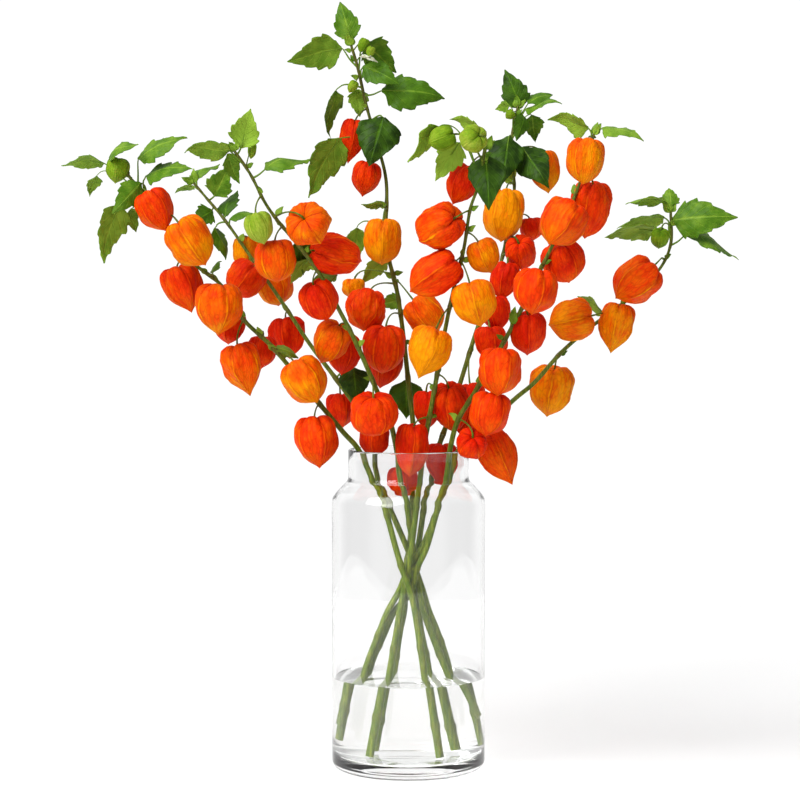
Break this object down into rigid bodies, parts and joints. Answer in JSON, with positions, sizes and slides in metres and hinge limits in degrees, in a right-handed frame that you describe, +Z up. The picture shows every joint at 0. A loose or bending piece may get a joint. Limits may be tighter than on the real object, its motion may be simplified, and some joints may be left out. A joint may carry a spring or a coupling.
{
  "type": "physalis bouquet in a glass vase",
  "caption": "Cut stems of Chinese-lantern physalis with papery husks, green husks and toothed leaves, standing in a tall clear glass vase with water.",
  "frame": {"origin": "centre of the vase's flat underside, on the surface it stands on", "axes": "+Z up along the vase's axis; -Y is the front, where the bouquet shows best; +X is to the right seen from the front"},
  "size_m": [0.6164, 0.2619, 0.7058],
  "materials": {
    "clear_glass": "polished",
    "water": "polished",
    "leafy_stem": "matte"
  },
  "bodies": {
    "root": {"vase": "clear_glass", "water": "water", "stem_1": "leafy_stem", "stem_2": "leafy_stem", "stem_3": "leafy_stem", "stem_4": "leafy_stem", "stem_5": "leafy_stem", "stem_6": "leafy_stem", "stem_7": "leafy_stem", "stem_8": "leafy_stem"}
  },
  "joints": []
}
